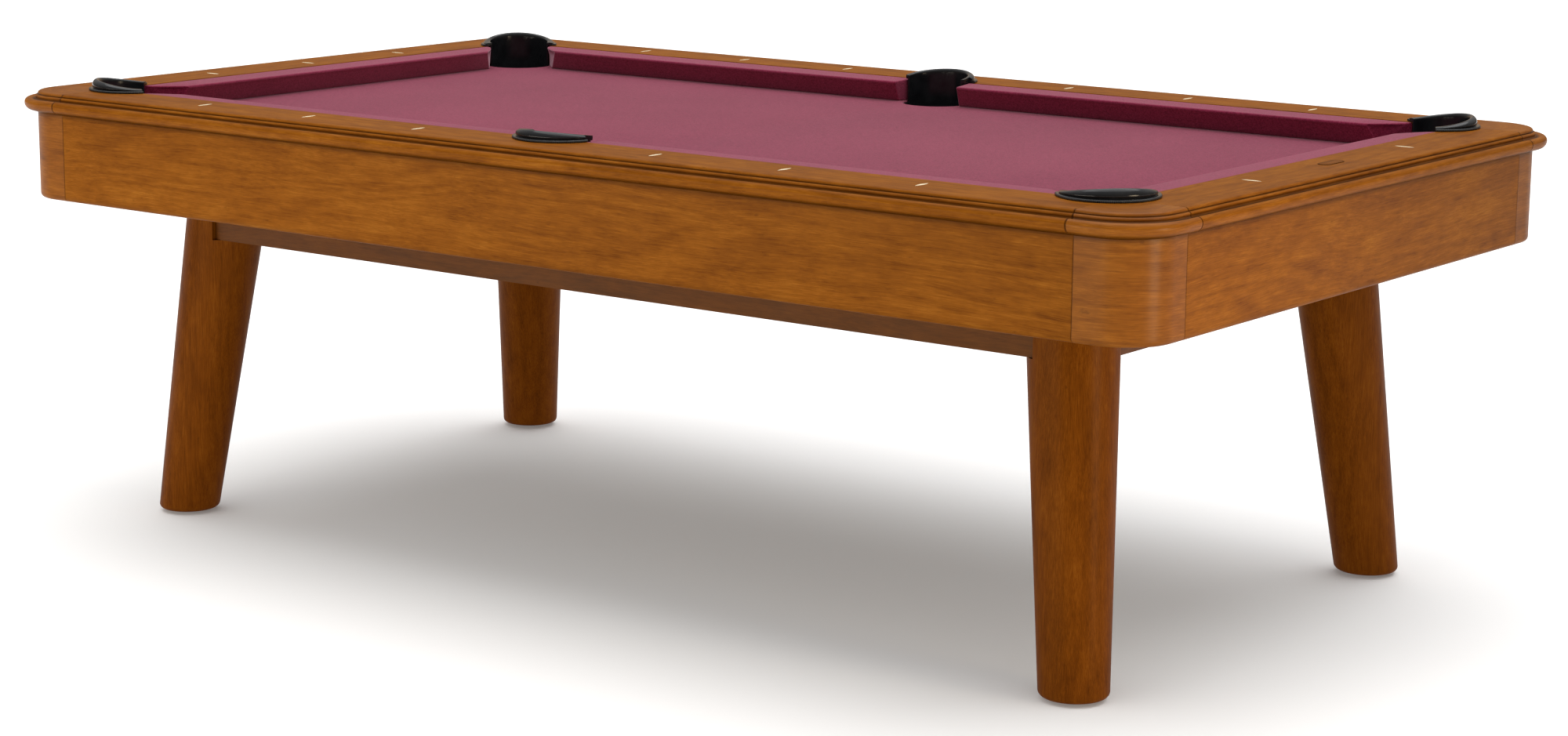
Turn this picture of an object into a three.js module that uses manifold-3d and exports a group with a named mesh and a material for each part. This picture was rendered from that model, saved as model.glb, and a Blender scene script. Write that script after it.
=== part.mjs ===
// Six-pocket pool table on four splayed, tapered round legs.
// Millimetres, +Z up. Origin at the centre of the footprint on the floor.
// +X runs along the table's length, +Y across it.
import * as THREE from 'three';
import { mergeVertices } from 'three/addons/utils/BufferGeometryUtils.js';
import Module from 'manifold-3d';

const wasm = await Module();
wasm.setup();
const { Manifold, Mesh } = wasm;

// ---- driving dimensions -------------------------------------------------
const PLAY_L = 2032;            // cushion nose to cushion nose, length
const PLAY_W = 1016;            // cushion nose to cushion nose, width
const RAIL_TOP = 785;           // height of the rails' flat top above the floor
const NX = PLAY_L / 2, NY = PLAY_W / 2;
const WOOD_IN = 55;             // nose line to the wood's inner edge
const FACE = 166;               // nose line to the apron's outer face
const XA = NX + FACE + 2, YA = NY + FACE - 2;   // 1184 and 672
const CORNER_R = 84;            // radius of the rounded corners
const RX = XA - CORNER_R, RY = YA - CORNER_R;   // centre of the rounded corner 1100, 588
const CX = XA - 118, CY = YA - 118;             // joints of the corner pieces 1066, 554
const APRON_BOTTOM = RAIL_TOP - 194;
const APRON_TOP = RAIL_TOP - 37.1;
const APRON_T = 25;
const EDGE_R = 8;               // round-over on the cabinet's bottom edge
const BED = RAIL_TOP - 40.7;    // top of the bed cloth
const CLOTH_T = 1.0;
const SLATE_TOP = BED - CLOTH_T - 0.3;
const SLATE_T = 22;
const SLATE_X = 1145, SLATE_Y = 634;
const SLATE_JOINT = 375;        // joints of the three-piece slate
const POCKET_C = [1036, 530];   // centre of a corner pocket
const POCKET_S = [0, 545];      // centre of a side pocket
const POCKET_R = 62;            // outer radius of the pocket's wall
const POCKET_WALL = 3.5;
const HOLE_R = 63.5;            // hole in the rails
const SLATE_HOLE_R = 64.5;
const BUCKET_BOTTOM = RAIL_TOP - 186;
const LIP_R = 78;               // flat lip that lies on the wood
const COLLAR_H = 20;            // height of the rolled collar above the wood
const GAP = 0.3;
// legs: the axis leans outward towards the corner on its way down
const LEG_FOOT = [970, 482];
const LEG_LEAN = [0.100, 0.112];   // inward travel of the axis per mm of height
const LEG_R0 = 55, LEG_R_RATE = 0.0316, LEG_BASE = 5.3, LEG_EDGE = 9;
const SHOULDER = RAIL_TOP - 268;   // shoulders that carry the frame beams
const LEG_TOP = RAIL_TOP - 66;
const BEAM_T = 38, BEAM_TOP = SLATE_TOP - SLATE_T - GAP, BEAM_BOTTOM = SHOULDER + GAP;
const BEAM_Y = 478, BEAM_X = 973;  // outer faces of the long and end beams
const NOTCH = 34;                  // notch faces, inward of the leg's axis

// ---- materials ----------------------------------------------------------
const wood = new THREE.MeshStandardMaterial({ color: 0x8a5220, roughness: 0.42, metalness: 0 });
const woodDark = new THREE.MeshStandardMaterial({ color: 0x6b3c16, roughness: 0.5, metalness: 0 });
const frameWood = new THREE.MeshStandardMaterial({ color: 0x7d4a20, roughness: 0.6, metalness: 0 });
const cloth = new THREE.MeshStandardMaterial({ color: 0x9a5068, roughness: 0.95, metalness: 0 });
const slateMat = new THREE.MeshStandardMaterial({ color: 0x4a4d50, roughness: 0.7, metalness: 0 });
const rubber = new THREE.MeshStandardMaterial({ color: 0x0c0c0d, roughness: 0.3, metalness: 0 });
const steel = new THREE.MeshStandardMaterial({ color: 0x8d9093, roughness: 0.35, metalness: 1 });
const padMat = new THREE.MeshStandardMaterial({ color: 0x1a1a1a, roughness: 0.7, metalness: 0 });

// ---- helpers ------------------------------------------------------------
const table = new THREE.Group();

function solid(geometry) {
  let g = geometry.index ? geometry.toNonIndexed() : geometry.clone();
  g.deleteAttribute('normal'); g.deleteAttribute('uv');
  g = mergeVertices(g, 1e-3);
  const idx = g.index.array, tri = [];
  for (let i = 0; i < idx.length; i += 3) {
    const a = idx[i], b = idx[i + 1], c = idx[i + 2];
    if (a !== b && b !== c && a !== c) tri.push(a, b, c);
  }
  return new Manifold(new Mesh({
    numProp: 3,
    vertProperties: Float32Array.from(g.attributes.position.array),
    triVerts: Uint32Array.from(tri),
  }));
}
function geometryOf(manifold) {
  const m = manifold.getMesh();
  const g = new THREE.BufferGeometry();
  const np = m.numProp, n = m.vertProperties.length / np, pos = new Float32Array(n * 3);
  for (let i = 0; i < n; i++) for (let k = 0; k < 3; k++) pos[3 * i + k] = m.vertProperties[np * i + k];
  g.setAttribute('position', new THREE.BufferAttribute(pos, 3));
  g.setIndex(new THREE.BufferAttribute(Uint32Array.from(m.triVerts), 1));
  return g;
}
function mirrored(geometry, sx, sy) {
  const g = geometry.clone(), p = g.attributes.position;
  for (let i = 0; i < p.count; i++) p.setXY(i, p.getX(i) * sx, p.getY(i) * sy);
  if (sx * sy < 0) {
    const ix = g.index.array;
    for (let i = 0; i < ix.length; i += 3) { const t = ix[i]; ix[i] = ix[i + 1]; ix[i + 1] = t; }
  }
  return g;
}
function put(name, geometry, material) {
  const g = geometry.clone();
  if (g.attributes.uv) g.deleteAttribute('uv');
  g.computeVertexNormals();
  const mesh = new THREE.Mesh(g, material);
  mesh.name = name;
  table.add(mesh);
}
function shapeOf(points) { return new THREE.Shape(points.map(([x, y]) => new THREE.Vector2(x, y))); }
function ccw(points) {
  let a = 0;
  for (let i = 0; i < points.length; i++) { const p = points[i], q = points[(i + 1) % points.length]; a += p[0] * q[1] - q[0] * p[1]; }
  return a > 0 ? points : points.slice().reverse();
}
// prism standing on the plan outline, from z0 to z1
function prism(points, z0, z1) {
  const g = new THREE.ExtrudeGeometry(shapeOf(ccw(points)), { depth: z1 - z0, bevelEnabled: false });
  g.translate(0, 0, z0);
  return solid(g);
}
function boxAt(x0, x1, y0, y1, z0, z1) {
  const g = new THREE.BoxGeometry(x1 - x0, y1 - y0, z1 - z0);
  g.translate((x0 + x1) / 2, (y0 + y1) / 2, (z0 + z1) / 2);
  return solid(g);
}
function drum(x, y, r, z0, z1, n) {
  const g = new THREE.CylinderGeometry(r, r, z1 - z0, n);
  g.rotateX(Math.PI / 2);
  g.translate(x, y, (z0 + z1) / 2);
  return solid(g);
}
// closed outline (r, z) turned about the vertical through (x, y)
function turned(outline, x, y, n) {
  const o = ccw(outline);
  const pts = o.concat([o[0]]).map(([r, z]) => new THREE.Vector2(r, z));
  const g = new THREE.LatheGeometry(pts, n);
  g.rotateX(Math.PI / 2);
  g.translate(x, y, 0);
  let m = solid(g);
  if (m.volume() < 0) {
    const f = geometryOf(m);
    m = solid(mirrored(f, -1, 1));
  }
  return m;
}
// section (s, z) run along X from x0 to x1, s measured outward from the nose line, on the +Y side
function alongX(section, x0, x1) {
  const g = new THREE.ExtrudeGeometry(shapeOf(ccw(section)), { depth: x1 - x0, bevelEnabled: false });
  const p = g.attributes.position;
  for (let i = 0; i < p.count; i++) p.setXYZ(i, p.getZ(i) + x0, p.getX(i) + NY, p.getY(i));
  return solid(g);
}
// the same on the +X side, run along Y
function alongY(section, y0, y1) {
  const g = new THREE.ExtrudeGeometry(shapeOf(ccw(section)), { depth: y1 - y0, bevelEnabled: false });
  const p = g.attributes.position;
  for (let i = 0; i < p.count; i++) p.setXYZ(i, p.getX(i) + NX, -(p.getZ(i) + y0), p.getY(i));
  return solid(g);
}

// ---- rail section: flat top, two beads, cove, bullnose --------------------
const T = RAIL_TOP;
const moulding = [
  [159, 0], [161.8, -0.4], [164.2, -1.8], [165.4, -4.2], [165.1, -5.8],
  [167.6, -6.5], [169.5, -8.1], [169.6, -10.0], [169.1, -11.3],
  [170.3, -13.3], [173.4, -14.6], [178.0, -12.9], [182.4, -12.0], [186.4, -13.9],
  [188.9, -17.4], [189.5, -21.3], [188.4, -26.0], [185.6, -30.0], [181.6, -32.6], [175, -34.0], [169, -36.8],
];
const railX = (dFace) => [[WOOD_IN + dFace, -40.4], [FACE + dFace - APRON_T - GAP, -40.4], [FACE + dFace - APRON_T - GAP, -36.8]]
  .concat(moulding.slice().reverse().map(([s, z]) => [s + dFace, z]))
  .concat([[WOOD_IN + dFace, 0]]).map(([s, z]) => [s, z + T]);
// the end rails' face stands 2 mm further out, and the side rails' 2 mm less
const endSection = railX(2), sideSection = railX(-2);
endSection[0][0] = endSection[endSection.length - 1][0] = WOOD_IN;
sideSection[0][0] = sideSection[sideSection.length - 1][0] = WOOD_IN;

const cornerHole = drum(POCKET_C[0], POCKET_C[1], HOLE_R, T - 60, T + 10, 40);
const cornerHoleL = drum(-POCKET_C[0], POCKET_C[1], HOLE_R, T - 60, T + 10, 40);
const cornerHoleB = drum(POCKET_C[0], -POCKET_C[1], HOLE_R, T - 60, T + 10, 40);
const sideHole = drum(POCKET_S[0], POCKET_S[1], HOLE_R, T - 60, T + 10, 40);
const H = 0.15;

const railBack = geometryOf(alongX(sideSection, -CX + H, CX - H).subtract(cornerHole).subtract(cornerHoleL).subtract(sideHole));
put('rail_back', railBack, wood);
put('rail_front', mirrored(railBack, -1, -1), wood);
const railRight = geometryOf(alongY(endSection, -CY + H, CY - H).subtract(cornerHole).subtract(cornerHoleB));
put('rail_right', railRight, wood);
put('rail_left', mirrored(railRight, -1, -1), wood);

// corner pieces: a section run straight from one joint, round the corner and straight
// to the other joint; o is measured outward from the apron's face
const STATIONS = (() => {
  const out = [[CX + H, RY, Math.PI / 2]];
  for (let i = 0; i <= 10; i++) out.push([RX, RY, (Math.PI / 2) * (1 - i / 10)]);
  out.push([RX, CY + H, 0]);
  return out;
})();
function aroundCorner(section, innerAt) {
  const rings = STATIONS.map(([bx, by, a], k) => {
    const ring = section.map(([o, z]) => [bx + Math.cos(a) * (CORNER_R + o), by + Math.sin(a) * (CORNER_R + o), z]);
    if (innerAt) {
      const [ix, iy] = innerAt(k / (STATIONS.length - 1));
      ring.unshift([ix, iy, section[0][1]]);
      ring.push([ix, iy, section[section.length - 1][1]]);
    }
    return ring;
  });
  const n = rings[0].length, m = rings.length, pos = [], idx = [];
  for (const r of rings) for (const p of r) pos.push(...p);
  for (let i = 0; i < m - 1; i++) for (let j = 0; j < n; j++) {
    const p = i * n + j, q = i * n + ((j + 1) % n), r = (i + 1) * n + ((j + 1) % n), t = (i + 1) * n + j;
    idx.push(p, q, r, p, r, t);
  }
  for (const [k, flip] of [[0, 1], [m - 1, 0]]) {
    const [bx, by, a] = STATIONS[k];
    const flat = rings[k].map(([x, y, z]) => new THREE.Vector2((x - bx) * Math.cos(a) + (y - by) * Math.sin(a), z));
    const up = THREE.ShapeUtils.area(flat) > 0;
    const order = flat.map((_, i) => i);
    if (!up) { flat.reverse(); order.reverse(); }
    for (const [p, q, r] of THREE.ShapeUtils.triangulateShape(flat, [])) {
      const [i, j, l] = [order[p], order[q], order[r]].map((v) => v + k * n);
      if ((up ? 1 : 0) ^ flip) idx.push(i, j, l); else idx.push(i, l, j);
    }
  }
  const g = new THREE.BufferGeometry();
  g.setAttribute('position', new THREE.BufferAttribute(new Float32Array(pos), 3));
  const tryIt = (ix) => { g.setIndex(ix); return solid(g); };
  let made = tryIt(idx);
  if (made.isEmpty() || made.volume() < 0) {
    const f = [];
    for (let i = 0; i < idx.length; i += 3) f.push(idx[i], idx[i + 2], idx[i + 1]);
    made = tryIt(f);
  }
  return made;
}
// the caps' inner edge follows the pocket, inside the hole that is cut afterwards
const inR = 58;
const in0 = Math.atan2(Math.sqrt(inR * inR - (CX + H - POCKET_C[0]) ** 2), CX + H - POCKET_C[0]);
const in1 = Math.atan2(CY + H - POCKET_C[1], Math.sqrt(inR * inR - (CY + H - POCKET_C[1]) ** 2));
const capSection = [[-APRON_T - GAP, -40.4], [-APRON_T - GAP, -36.8]]
  .concat(moulding.slice().reverse().map(([s, z]) => [s - FACE, z]))
  .map(([o, z]) => [o, z + T]);
const cap = geometryOf(aroundCorner(capSection, (t) => {
  const a = in0 + (in1 - in0) * t;
  return [POCKET_C[0] + inR * Math.cos(a), POCKET_C[1] + inR * Math.sin(a)];
}).subtract(cornerHole));
const CORNERS = [['front_left', -1, -1], ['front_right', 1, -1], ['back_left', -1, 1], ['back_right', 1, 1]];
for (const [n, sx, sy] of CORNERS) put('corner_cap_' + n, mirrored(cap, sx, sy), wood);

// ---- cabinet: aprons and quarter-round corner blocks ----------------------
const roundOver = (outer) => {
  const pts = [];
  for (let i = 0; i <= 4; i++) {
    const a = (Math.PI / 2) * (i / 4);
    pts.push([outer - EDGE_R + EDGE_R * Math.sin(a), APRON_BOTTOM + EDGE_R - EDGE_R * Math.cos(a)]);
  }
  return pts;
};
const apronSection = (outer) => [[outer - APRON_T, APRON_BOTTOM], ...roundOver(outer), [outer, APRON_TOP], [outer - APRON_T, APRON_TOP]];
const apronBack = geometryOf(alongX(apronSection(YA - NY), -CX + H, CX - H));
put('apron_back', apronBack, wood);
put('apron_front', mirrored(apronBack, -1, -1), wood);
const apronRight = geometryOf(alongY(apronSection(XA - NX), -CY + H, CY - H));
put('apron_right', apronRight, wood);
put('apron_left', mirrored(apronRight, -1, -1), wood);
const block = geometryOf(aroundCorner(apronSection(0)));
for (const [n, sx, sy] of CORNERS) put('corner_block_' + n, mirrored(block, sx, sy), wood);

// ---- bed: three slates and the cloth over them -----------------------------
const SB = SLATE_TOP - SLATE_T;
const slateHoleC = (sx, sy) => drum(sx * POCKET_C[0], sy * POCKET_C[1], SLATE_HOLE_R, SB - 5, BED + 5, 24);
const slateHoleS = (sy) => drum(0, sy * POCKET_S[1], SLATE_HOLE_R, SB - 5, BED + 5, 24);
// the bed's corners are cut round to clear the corner blocks
const bedCorner = (sx, sy) => {
  const r = CORNER_R - APRON_T - 0.6;
  const ring = turned([[r, SB - 5], [300, SB - 5], [300, BED + 5], [r, BED + 5]], RX, RY, 24)
    .intersect(boxAt(RX - GAP, RX + 400, RY - GAP, RY + 400, 0, 900));
  return solid(mirrored(geometryOf(ring), sx, sy));
};
const slateRight = geometryOf(boxAt(SLATE_JOINT + H, SLATE_X, -SLATE_Y, SLATE_Y, SB, SLATE_TOP).subtract(slateHoleC(1, 1)).subtract(slateHoleC(1, -1)).subtract(bedCorner(1, 1)).subtract(bedCorner(1, -1)));
put('slate_right', slateRight, slateMat);
put('slate_left', mirrored(slateRight, -1, -1), slateMat);
put('slate_centre', geometryOf(boxAt(-SLATE_JOINT + H, SLATE_JOINT - H, -SLATE_Y, SLATE_Y, SB, SLATE_TOP).subtract(slateHoleS(1)).subtract(slateHoleS(-1))), slateMat);
let clothSolid = boxAt(-SLATE_X + 2, SLATE_X - 2, -SLATE_Y + 2, SLATE_Y - 2, BED - CLOTH_T, BED);
for (const [sx, sy] of [[1, 1], [1, -1], [-1, 1], [-1, -1]]) clothSolid = clothSolid.subtract(slateHoleC(sx, sy)).subtract(bedCorner(sx, sy));
clothSolid = clothSolid.subtract(slateHoleS(1)).subtract(slateHoleS(-1));
put('bed_cloth', geometryOf(clothSolid), cloth);

// ---- cushions: cloth-covered rubber, cut back at the pockets ---------------
const W = WOOD_IN - GAP;
const cushionSection = [[W, -40.4], [13, -40.4], [11, -38.0], [1.2, -9.2], [0, -6.2], [1.0, -3.6], [4.5, -2.6], [W, -0.8]].map(([s, z]) => [s, z + T]);
const clear = POCKET_R + 3;
const cEnd = (() => {      // outline of a cushion end at a corner pocket, in (distance beyond the nose corner, s)
  const out = [[-98, -2], [-46, 34]];
  for (const s of [44, 60]) { const dy = s - (POCKET_C[1] - NY); out.push([(POCKET_C[0] - NX) - Math.sqrt(clear * clear - dy * dy), s]); }
  return out;
})();
const sideEnd = [[70, -2], [66.5, 34], [Math.sqrt(clear * clear - 49) , 44], [Math.sqrt(clear * clear - 23 * 23), 60]];
function longCushion() {   // +X, +Y
  const plan = [...sideEnd.map(([x, s]) => [x, NY + s]), ...cEnd.slice().reverse().map(([d, s]) => [NX + d, NY + s])];
  return alongX(cushionSection, 40, NX + 10).intersect(prism(plan, T - 60, T + 10));
}
function endCushion() {    // +X
  const up = cEnd.map(([d, s]) => [NX + s, NY + d]);
  const plan = [...up.map(([x, y]) => [x, -y]), ...up.slice().reverse()];
  return alongY(cushionSection, -NY - 10, NY + 10).intersect(prism(plan, T - 60, T + 10));
}
const cl = geometryOf(longCushion()), ce = geometryOf(endCushion());
for (const [n, sx, sy] of CORNERS) put('cushion_' + n, mirrored(cl, sx, sy), cloth);
put('cushion_right', ce, cloth);
put('cushion_left', mirrored(ce, -1, -1), cloth);

// ---- pockets: lip on the wood, rolled collar, wall and ball bucket ---------
function pocketOutline() {
  const ri = POCKET_R - POCKET_WALL;
  return [
    [0, BUCKET_BOTTOM], [46, BUCKET_BOTTOM], [57, BUCKET_BOTTOM + 4], [POCKET_R, BUCKET_BOTTOM + 15],
    [POCKET_R, T + GAP], [LIP_R - 1, T + GAP], [LIP_R, T + 1.8], [LIP_R - 1.4, T + 4.2],
    [69.8, T + 4.5], [70.8, T + 9.5], [69.2, T + 15], [66.0, T + 18.9], [62.8, T + COLLAR_H],
    [60.0, T + 18.4], [ri, T + 13.5], [ri, BUCKET_BOTTOM + 17], [54.5, BUCKET_BOTTOM + 7.5], [45, BUCKET_BOTTOM + 3.5], [0, BUCKET_BOTTOM + 3.5],
  ];
}
function pocket(cx, cy, outward, half, lipLine, peak) {
  const o = pocketOutline();
  const g = new THREE.LatheGeometry(o.map(([r, z]) => new THREE.Vector2(r, z)), 28);
  g.rotateX(Math.PI / 2);
  // the collar is highest at the back and falls towards the mouth
  const p = g.attributes.position;
  for (let i = 0; i < p.count; i++) {
    const z = p.getZ(i);
    if (z > T + 4.5) {
      let a = Math.atan2(p.getY(i), p.getX(i)) - outward;
      a = Math.atan2(Math.sin(a), Math.cos(a));
      const c = Math.cos(Math.min(Math.PI / 2, (Math.abs(a) * Math.PI) / 2 / (half + 0.19)));
      const k = peak * (0.12 + 0.88 * c * c);
      p.setZ(i, T + 4.5 + (z - T - 4.5) * k);
    }
  }
  let m = solid(g);
  if (m.volume() < 0) {
    const ix = g.index.array;
    for (let i = 0; i < ix.length; i += 3) { const t = ix[i]; ix[i] = ix[i + 1]; ix[i + 1] = t; }
    m = solid(g);
  }
  // mouth: everything above the bed between the two ends of the wall is open
  const wedge = [[0, 0]];
  for (let i = 0; i <= 6; i++) {
    const a = outward + half + ((2 * Math.PI - 2 * half) * i) / 6;
    wedge.push([160 * Math.cos(a), 160 * Math.sin(a)]);
  }
  m = m.subtract(prism(wedge, SLATE_TOP - 1.5, T + 60));
  // the lip ends at the line where the wood meets the cushions
  for (const cut of lipLine) m = m.subtract(cut);
  const out = geometryOf(m);
  out.translate(cx, cy, 0);
  return out;
}
const lipCutSide = boxAt(-200, 200, -200, NY + WOOD_IN - POCKET_S[1], T - 0.5, T + 60).subtract(drum(0, 0, POCKET_R + 4, T - 1, T + 61, 32));
const sidePocket = pocket(0, 0, Math.PI / 2, (95 * Math.PI) / 180, [lipCutSide], 0.82);
sidePocket.translate(POCKET_S[0], POCKET_S[1], 0);
put('pocket_back_centre', sidePocket, rubber);
put('pocket_front_centre', mirrored(sidePocket, -1, -1), rubber);
const cornerPocket = pocket(0, 0, Math.PI / 4, (107 * Math.PI) / 180, [], 1);
cornerPocket.translate(POCKET_C[0], POCKET_C[1], 0);
for (const [n, sx, sy] of CORNERS) put('pocket_' + n, mirrored(cornerPocket, sx, sy), rubber);

// ---- legs ------------------------------------------------------------------
const axisAt = (h) => [LEG_FOOT[0] - LEG_LEAN[0] * h, LEG_FOOT[1] - LEG_LEAN[1] * h];
const AX = axisAt(SHOULDER);
function legSolid() {       // +X, +Y leg
  const rings = [];
  for (let i = 0; i <= 3; i++) {
    const a = (Math.PI / 2) * (i / 3);
    const h = LEG_BASE + LEG_EDGE - LEG_EDGE * Math.cos(a);
    rings.push([LEG_R0 + LEG_R_RATE * h - LEG_EDGE + LEG_EDGE * Math.sin(a), h]);
  }
  rings.push([LEG_R0 + LEG_R_RATE * LEG_TOP, LEG_TOP]);
  const pts = [new THREE.Vector2(0, LEG_BASE), ...rings.map(([r, h]) => new THREE.Vector2(r, h)), new THREE.Vector2(0, LEG_TOP)];
  const g = new THREE.LatheGeometry(pts, 28);
  g.rotateX(Math.PI / 2);
  const p = g.attributes.position;
  for (let i = 0; i < p.count; i++) {
    const h = p.getZ(i), [ax, ay] = axisAt(h);
    p.setXY(i, p.getX(i) + ax, p.getY(i) + ay);
  }
  let m = solid(g);
  if (m.volume() < 0) {
    const ix = g.index.array;
    for (let i = 0; i < ix.length; i += 3) { const t = ix[i]; ix[i] = ix[i + 1]; ix[i + 1] = t; }
    m = solid(g);
  }
  // two flat notch faces above the shoulders
  m = m.subtract(boxAt(0, AX[0] - NOTCH, 0, 1200, SHOULDER, 900));
  m = m.subtract(boxAt(0, 1200, 0, AX[1] - NOTCH, SHOULDER, 900));
  // bore for the leveler's stem, and the hanger bolt's pilot hole
  m = m.subtract(drum(LEG_FOOT[0], LEG_FOOT[1], 5.4, 0, 70, 16));
  return m;
}
// hanger bolt: level, along the diagonal, through the corner brace into the leg
const BOLT_Z = RAIL_TOP - 215, BOLT_R = 5;
const D = Math.SQRT1_2;
const boltAxis = axisAt(BOLT_Z);
function rod(r, from, to, n) {   // measured from the leg's axis, inward along the diagonal
  const g = new THREE.CylinderGeometry(r, r, to - from, n);
  g.rotateZ(Math.PI / 2);        // along X
  g.translate(-(from + to) / 2, 0, 0);
  g.rotateZ(Math.PI / 4);
  g.translate(boltAxis[0], boltAxis[1], BOLT_Z);
  return solid(g);
}
const leg = geometryOf(legSolid().subtract(rod(BOLT_R + 0.4, -32, 90, 12)));
for (const [n, sx, sy] of CORNERS) put('leg_' + n, mirrored(leg, sx, sy), woodDark);

// leveler feet: pad and stem in one piece, seated against the leg's end
const footOutline = [[0, 0], [20.5, 0], [22, 1.2], [22, 3.8], [20.5, 5], [5, 5], [5, 44], [4, 46], [0, 46]];
const foot = (() => {
  const g = new THREE.LatheGeometry(footOutline.map(([r, z]) => new THREE.Vector2(r, z)), 20);
  g.rotateX(Math.PI / 2);
  g.translate(LEG_FOOT[0], LEG_FOOT[1], 0);
  let m = solid(g);
  if (m.volume() < 0) {
    const ix = g.index.array;
    for (let i = 0; i < ix.length; i += 3) { const t = ix[i]; ix[i] = ix[i + 1]; ix[i + 1] = t; }
    m = solid(g);
  }
  return geometryOf(m);
})();
for (const [n, sx, sy] of CORNERS) put('leveler_foot_' + n, mirrored(foot, sx, sy), padMat);

// ---- sub-frame ---------------------------------------------------------------
const longEnd = AX[0] - NOTCH - 2, endEnd = AX[1] - NOTCH - 2;
const beamBack = geometryOf(boxAt(-longEnd, longEnd, BEAM_Y - BEAM_T, BEAM_Y, BEAM_BOTTOM, BEAM_TOP));
put('frame_beam_back', beamBack, frameWood);
put('frame_beam_front', mirrored(beamBack, -1, -1), frameWood);
const beamRight = geometryOf(boxAt(BEAM_X - BEAM_T, BEAM_X, -endEnd, endEnd, BEAM_BOTTOM, BEAM_TOP));
put('frame_beam_right', beamRight, frameWood);
put('frame_beam_left', mirrored(beamRight, -1, -1), frameWood);
const cross = geometryOf(boxAt(SLATE_JOINT - 35, SLATE_JOINT + 35, -(BEAM_Y - BEAM_T - GAP), BEAM_Y - BEAM_T - GAP, BEAM_TOP - 120, BEAM_TOP));
put('cross_beam_right', cross, frameWood);
put('cross_beam_left', mirrored(cross, -1, -1), frameWood);

// corner braces: blocks across the inner corners of the frame, drilled for the hanger bolts
const yi = BEAM_Y - BEAM_T - GAP, xi = BEAM_X - BEAM_T - GAP;
const s1 = boltAxis[0] + boltAxis[1] - 2 * NOTCH - 30, s2 = s1 - 56;   // x + y on the brace's two long faces
const bracePlan = [[s1 - yi, yi], [xi, s1 - xi], [xi, s2 - xi], [s2 - yi, yi]];
const brace = geometryOf(prism(bracePlan, BEAM_BOTTOM + 12, BEAM_BOTTOM + 92).subtract(rod(BOLT_R + 0.4, 0, 300, 12)));
for (const [n, sx, sy] of CORNERS) put('corner_brace_' + n, mirrored(brace, sx, sy), frameWood);
const toFace = (boltAxis[0] + boltAxis[1] - s2) * D;       // axis to the brace's inner face
const bolt = geometryOf(rod(BOLT_R, -28, toFace + 14, 12).add(rod(9.2, toFace + GAP, toFace + 8, 6)));
for (const [n, sx, sy] of CORNERS) put('leg_bolt_' + n, mirrored(bolt, sx, sy), steel);

// ---- plain plate with round ends on the right end rail --------------------------
// (blank wood, a hair proud of the rail's top)
const plate = [];
for (const [yc, a0] of [[21, 0], [-21, Math.PI]]) {
  for (let i = 0; i <= 8; i++) {
    const a = a0 + (Math.PI * i) / 8;
    plate.push([NX + 102.5 + 11 * Math.cos(a), yc + 11 * Math.sin(a)]);
  }
}
put('medallion', geometryOf(prism(plate, T + GAP, T + 1.1)), woodDark);

export default table;
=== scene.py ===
# Six-pocket pool table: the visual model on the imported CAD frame.
# Metres in the scene; the dimensions below are in millimetres, as in the CAD source.
import math
import random

import bmesh
import bpy
from mathutils import Matrix, Vector
from mathutils.geometry import delaunay_2d_cdt


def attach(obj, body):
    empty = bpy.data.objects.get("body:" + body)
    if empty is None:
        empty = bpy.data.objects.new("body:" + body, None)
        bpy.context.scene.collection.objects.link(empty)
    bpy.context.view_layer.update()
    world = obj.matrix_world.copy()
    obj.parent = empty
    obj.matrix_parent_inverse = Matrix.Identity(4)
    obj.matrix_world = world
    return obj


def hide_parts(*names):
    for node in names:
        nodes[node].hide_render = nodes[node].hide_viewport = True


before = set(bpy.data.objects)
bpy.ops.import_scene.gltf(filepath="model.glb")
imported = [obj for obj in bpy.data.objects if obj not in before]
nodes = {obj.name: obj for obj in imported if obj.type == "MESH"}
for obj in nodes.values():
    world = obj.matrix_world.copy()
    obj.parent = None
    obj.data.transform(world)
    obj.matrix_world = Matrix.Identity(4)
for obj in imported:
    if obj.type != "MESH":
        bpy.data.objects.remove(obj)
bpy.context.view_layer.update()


# ---- dimensions (mm) -------------------------------------------------------
T = 785.0
NX, NY = 1016.0, 508.0
WOOD_IN, FACE = 55.0, 166.0
XA, YA = NX + FACE + 2, NY + FACE - 2
CORNER_R = 84.0
RX, RY = XA - CORNER_R, YA - CORNER_R
CX, CY = XA - 118.0, YA - 118.0
APRON_BOTTOM, APRON_TOP, APRON_T, EDGE_R = T - 194, T - 37.1, 25.0, 8.0
BED = T - 40.7
SLATE_TOP = BED - 1.3
SLATE_X, SLATE_Y = 1145.0, 634.0
PC, PS = (1036.0, 530.0), (0.0, 545.0)
HOLE_R = 63.5
LIP_R, WALL_R, INNER_R = 78.0, 62.0, 58.5
BUCKET_BOTTOM = T - 186
LEG_FOOT, LEG_LEAN = (970.0, 482.0), (0.100, 0.112)
LEG_R0, LEG_RATE, LEG_BASE, LEG_EDGE = 55.0, 0.0316, 5.3, 9.0
SHOULDER, LEG_TOP, NOTCH = T - 268, T - 66, 34.0
CORNERS = [("front_left", -1, -1), ("front_right", 1, -1), ("back_left", -1, 1), ("back_right", 1, 1)]

# ---- mesh helpers ----------------------------------------------------------


def ccw(poly):
    a = sum(p[0] * q[1] - q[0] * p[1] for p, q in zip(poly, poly[1:] + poly[:1]))
    return poly if a > 0 else poly[::-1]


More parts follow.
